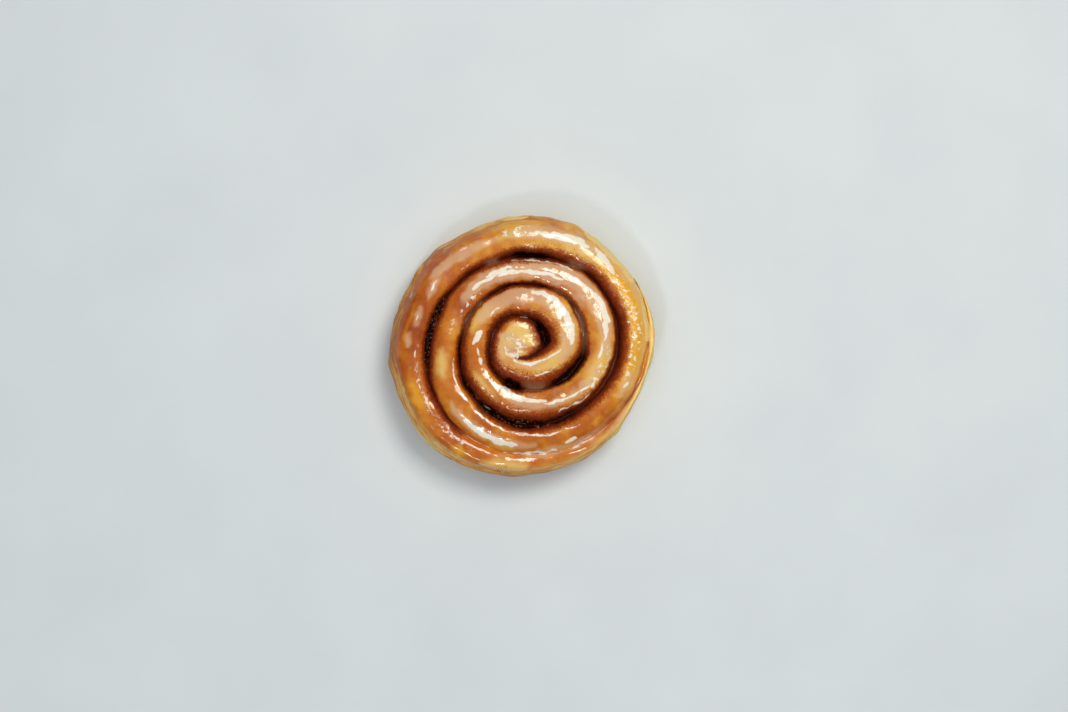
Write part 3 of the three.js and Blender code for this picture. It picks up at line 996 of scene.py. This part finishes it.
class Nodes:
    """A short way to write a node tree."""

    def __init__(self, name):
        self.material = bpy.data.materials.new(name)
        self.material.use_nodes = True
        self.tree = self.material.node_tree
        self.shader = self.tree.nodes["Principled BSDF"]
        self.made = {}

    def node(self, kind, **settings):
        node = self.tree.nodes.new(kind)
        for key, value in settings.items():
            setattr(node, key, value)
        return node

    def plug(self, socket, value):
        if isinstance(value, bpy.types.NodeSocket):
            self.tree.links.new(value, socket)
        else:
            socket.default_value = value

    def math(self, operation, a, b):
        node = self.node("ShaderNodeMath", operation=operation)
        self.plug(node.inputs[0], a)
        self.plug(node.inputs[1], b)
        return node.outputs[0]

    def noise(self, place, scale, detail=2.0, rough=0.5):
        node = self.node("ShaderNodeTexNoise")
        node.inputs["Scale"].default_value = scale
        node.inputs["Detail"].default_value = detail
        node.inputs["Roughness"].default_value = rough
        self.plug(node.inputs["Vector"], place)
        return node.outputs["Fac"]

    def streaks(self, along_mm, across_mm):
        """Noise drawn out along the strip."""
        stretched = self.node("ShaderNodeCombineXYZ")
        self.plug(stretched.inputs["X"], self.math("DIVIDE", self.source("along"), along_mm))
        self.plug(stretched.inputs["Y"], self.math("DIVIDE", self.source("across"), across_mm))
        return self.noise(stretched.outputs["Vector"], 1.0)

    def bump(self, height, strength, distance_mm):
        node = self.node("ShaderNodeBump")
        node.inputs["Distance"].default_value = distance_mm * MM
        self.plug(node.inputs["Strength"], strength)
        self.plug(node.inputs["Height"], height)
        return node.outputs["Normal"]

    def step(self, value, low, high, out_low=0.0, out_high=1.0):
        node = self.node("ShaderNodeMapRange", interpolation_type="SMOOTHSTEP")
        self.plug(node.inputs["Value"], value)
        self.plug(node.inputs["From Min"], low)
        self.plug(node.inputs["From Max"], high)
        self.plug(node.inputs["To Min"], out_low)
        self.plug(node.inputs["To Max"], out_high)
        return node.outputs["Result"]

    def make(self, name):
        if name in STREAKS:
            return self.streaks(*STREAKS[name])
        if name in NOISES:
            size_mm, *finish = NOISES[name]
            place = self.node("ShaderNodeTexCoord").outputs["Object"]
            return self.noise(place, 1.0 / (size_mm * MM), *finish)
        return self.node("ShaderNodeAttribute", attribute_name=name).outputs["Fac"]

    def source(self, name):
        """One of the STREAKS or NOISES, or a field of the mesh. It is made once."""
        if name not in self.made:
            self.made[name] = self.make(name)
        return self.made[name]

    def varied(self, value, amounts):
        """The value, moved up and down by each of the named noises."""
        for name, amount in amounts.items():
            value = self.more(value, self.times(self.less(self.source(name), 0.5), amount))
        return value

    def mask(self, name):
        """One of the MASKS."""
        source, amounts, *edges = MASKS[name]
        return self.step(self.varied(self.source(source), amounts), *edges)

    def times(self, a, b):
        return self.math("MULTIPLY", a, b)

    def more(self, a, b):
        return self.math("ADD", a, b)

    def less(self, a, b):
        return self.math("SUBTRACT", a, b)

    def most(self, a, b):
        return self.math("MAXIMUM", a, b)

    def settle(self, values):
        """Sets the shader's sockets that are the same all over."""
        for socket, value in values.items():
            self.shader.inputs[socket].default_value = value

    def mix(self, factor, a, b):
        node = self.node("ShaderNodeMix", data_type="RGBA")
        self.plug(node.inputs["Factor"], factor)
        self.plug(node.inputs[6], a)
        self.plug(node.inputs[7], b)
        return node.outputs[2]

    def ramp(self, value, stops):
        node = self.node("ShaderNodeValToRGB")
        elements = node.color_ramp.elements
        while len(elements) < len(stops):
            elements.new(0.5)
        for element, (position, colour) in zip(elements, stops):
            element.position, element.color = position, colour
        self.plug(node.inputs["Fac"], value)
        return node.outputs["Color"]


def add_crust(n):
    """The crust's colour: golden and pale places, thin milky glaze, and milky strokes that are partly
    painted sheen.
    """
    colour = n.ramp(n.varied(n.source("toast"), CRUST_VARIES), CRUST_COLOURS)
    colour = n.mix(n.mask("golden"), colour, YELLOW)
    colour = n.mix(n.mask("pale"), colour, PALE)
    colour = n.mix(n.mask("veil"), colour, MILK_AND_SHEEN_COLOUR)
    return n.mix(n.mask("milk_and_sheen"), colour, MILK_AND_SHEEN_COLOUR)


def add_stain(n, colour):
    """The filling's stain beside the groove, the groove's floor, painted shade where the turns part, and
    filling specks.
    """
    stained = n.varied(n.source("stain"), STAIN_VARIES)
    colour = n.mix(n.mask("stained"), colour, n.ramp(stained, STAIN_COLOURS))
    parted = n.mask("parted")
    floor_start = n.step(parted, 0.0, 1.0, *FLOOR_STARTS)
    floor = n.step(n.less(n.varied(n.source("stain"), FLOOR_VARIES), floor_start), 0.0, FLOOR_EDGE)
    # Where the turns have parted, the floor is painted near black, as shade.
    colour = n.mix(floor, colour, n.mix(parted, GROOVE_COLOUR, HOLE_PAINTED_SHADE))

    speckled = n.most(n.mask("near stain"), n.source("speckled"))
    level = n.step(speckled, 0.0, FULLY_SPECKLED, *SPECK_LEVELS)
    speck = n.step(n.less(n.source("specks"), level), 0.0, SPECK_EDGE, 0.0, SPECK_STRENGTH)
    return n.mix(speck, colour, SPECK)


def add_white_glaze_and_highlights(n, colour, pool):
    """White glaze with painted highlights and glint flecks on the crown, and glaze that fills the groove.
    """
    icing_and_highlights = n.most(n.mask("icing_and_highlights"), n.times(n.mask("painted glint flecks"), n.mask("flecked")))
    colour = n.mix(n.times(icing_and_highlights, n.mask("glaze and highlight cover")), colour, GLAZE_AND_HIGHLIGHT_WHITE)
    return n.mix(pool, colour, POOL_COLOUR)


def add_bare_dough(n, colour, bare_mask):
    """Layered dough on the rim and the side, browner at its foot and in its lines."""
    lines = n.times(n.mask("lines"), n.mask("lined"))
    colour = n.mix(lines, colour, RIM_LINE)
    fibre = n.varied(FIBRE_LEVEL, FIBRE_VARIES)
    fibre = n.more(fibre, n.times(n.less(MIDDLE_TOAST, n.source("toast")), FIBRE_BROWNED))
    fibre = n.more(fibre, n.times(n.source("layer"), FIBRE_LAYERED))
    fibre = n.less(fibre, n.times(lines, n.mask("line depth")))
    fibre = n.less(fibre, n.mask("foot"))
    fibre = n.less(fibre, n.times(n.source("bulge"), n.mask("bulge grain")))
    return n.mix(bare_mask, colour, n.ramp(fibre, BARE_COLOURS))


def add_gloss(n, pool, bare_mask):
    """The glaze is a wet coat, dull over the stain and on the rim, and missing from bare dough."""
    shader = n.shader.inputs
    dull = n.times(n.most(bare_mask, n.mask("dry stain")), n.less(1.0, pool))
    dull = n.most(dull, n.times(n.source("rim"), RIM_DULL))
    n.plug(shader["Roughness"], n.step(bare_mask, 0.0, 1.0, *ROUGHNESS))
    n.plug(shader["Coat Weight"], n.times(n.mask("wet"), n.step(dull, 0.0, 1.0, *COAT_WEIGHTS)))
    n.settle(DOUGH_SOCKETS)


def add_bumps(n, bare_mask):
    heights = n.more(n.times(n.source("fine"), FINE_BUMP), n.times(n.source("grain"), GRAIN_BUMP))
    stained = n.varied(n.source("stain"), STAIN_VARIES)
    rough = n.most(n.most(n.source("pitted_and_glints"), n.step(stained, *ROUGH_STAIN)), bare_mask)
    n.plug(n.shader.inputs["Normal"], n.bump(heights, n.step(rough, 0.0, 1.0, *BUMP), BUMP_MM))
    coat_bump = n.bump(heights, n.step(rough, 0.0, 1.0, *COAT_BUMP), COAT_BUMP_MM)
    n.plug(n.shader.inputs["Coat Normal"], coat_bump)


def dough_material():
    n = Nodes("glazed_dough")
    pool = n.times(n.source("pool"), n.mask("pool depth"))
    bare_mask = n.mask("bare")
    colour = add_white_glaze_and_highlights(n, add_stain(n, add_crust(n)), pool)
    n.plug(n.shader.inputs["Base Color"], add_bare_dough(n, colour, bare_mask))
    add_gloss(n, pool, bare_mask)
    add_bumps(n, bare_mask)
    return n.material


def filling_material():
    """Dark grains in a sticky syrup."""
    n = Nodes("cinnamon_filling")
    n.plug(n.shader.inputs["Base Color"], n.ramp(n.source("shade"), FILLING_COLOURS))
    n.settle(FILLING_SOCKETS)
    return n.material


def floor_material():
    n = Nodes("pale_floor")
    n.plug(n.shader.inputs["Base Color"], n.ramp(n.source("floor"), FLOOR_COLOURS))
    n.settle(FLOOR_SOCKETS)
    return n.material


# ---------------------------------------------------------------- stage

FLOOR_SIZE = 6.0
WARM = (1.0, 0.94, 0.83)
COOL = (0.94, 0.98, 1.0)
WORLD_COLOUR = (0.93, 0.97, 1.0, 1.0)
WORLD_LIGHT = 0.14
WORLD_GLOSS = 0.04  # the world's light as glossy surfaces see it
# Each lamp: name, azimuth and elevation in degrees, distance and size in metres, power, colour, and
# whether it shows in reflections.
LAMPS = [
    ("key_softbox", 52, 64, 1.3, (0.42, 0.4), 7.8, WARM, True),
    ("side_softbox", 245, 60, 1.3, (0.13, 0.13), 1.8, COOL, True),
    ("top_fill", 0, 90, 1.6, (1.8, 1.8), 12.0, COOL, False),
]
CAMERA_LENS = 70.0
CAMERA_SENSOR = 36.0
FRAME_WIDTH = 461.7
CAMERA_FROM_HEART = (6.05, -5.62)
FOCUS_HEIGHT = 20.0


def add_floor():
    half = FLOOR_SIZE / 2
    corners = [(-half, -half, 0), (half, -half, 0), (half, half, 0), (-half, half, 0)]
    mesh = bpy.data.meshes.new("floor")
    mesh.from_pydata(corners, [], [(0, 1, 2, 3)])
    mesh.materials.append(floor_material())
    floor = bpy.data.objects.new("floor", mesh)
    bpy.context.scene.collection.objects.link(floor)


def softbox(name, azimuth, elevation, distance, size, power, colour, reflects):
    """A rectangular lamp that faces the roll. It may be left out of reflections."""
    a, e = math.radians(azimuth), math.radians(elevation)
    direction = Vector((math.cos(e) * math.cos(a), math.cos(e) * math.sin(a), math.sin(e)))
    light = bpy.data.lights.new(name, "AREA")
    light.shape = "RECTANGLE"
    light.size, light.size_y = size
    light.energy = power
    light.color = colour
    lamp = bpy.data.objects.new(name, light)
    lamp.location = direction * distance
    lamp.rotation_euler = (-direction).to_track_quat("-Z", "Y").to_euler()
    lamp.visible_glossy = reflects
    bpy.context.scene.collection.objects.link(lamp)


def add_lights():
    for lamp in LAMPS:
        softbox(*lamp)


def add_world():
    world = bpy.data.worlds.new("studio")
    world.use_nodes = True
    nodes, links = world.node_tree.nodes, world.node_tree.links
    background = nodes["Background"]
    background.inputs["Color"].default_value = WORLD_COLOUR
    seen_in_gloss = nodes.new("ShaderNodeLightPath").outputs["Is Glossy Ray"]
    strength = nodes.new("ShaderNodeMapRange")
    strength.inputs["To Min"].default_value = WORLD_LIGHT
    strength.inputs["To Max"].default_value = WORLD_GLOSS
    links.new(seen_in_gloss, strength.inputs["Value"])
    links.new(strength.outputs["Result"], background.inputs["Strength"])
    bpy.context.scene.world = world


def add_camera():
    camera = bpy.data.cameras.new("camera")
    camera.lens = CAMERA_LENS
    camera.sensor_width = CAMERA_SENSOR
    stand = bpy.data.objects.new("camera", camera)
    distance = FRAME_WIDTH * CAMERA_LENS / CAMERA_SENSOR
    x, y = HEART + np.array(CAMERA_FROM_HEART)
    stand.location = (x * MM, y * MM, (distance + FOCUS_HEIGHT) * MM)
    bpy.context.scene.collection.objects.link(stand)
    bpy.context.scene.camera = stand


# ---------------------------------------------------------------- put together

bpy.context.scene.view_settings.view_transform = "Standard"

add_camera()
add_world()
add_lights()
add_floor()

surface = roll_surface()
roll = mesh_object("glazed_roll", surface["points"], surface["faces"], surface["fields"])
roll.data.materials.append(dough_material())
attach(roll, "root")
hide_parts(NODE)

crumbs = build_crumbs(surface)
crumbs.data.materials.append(filling_material())
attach(crumbs, "root")
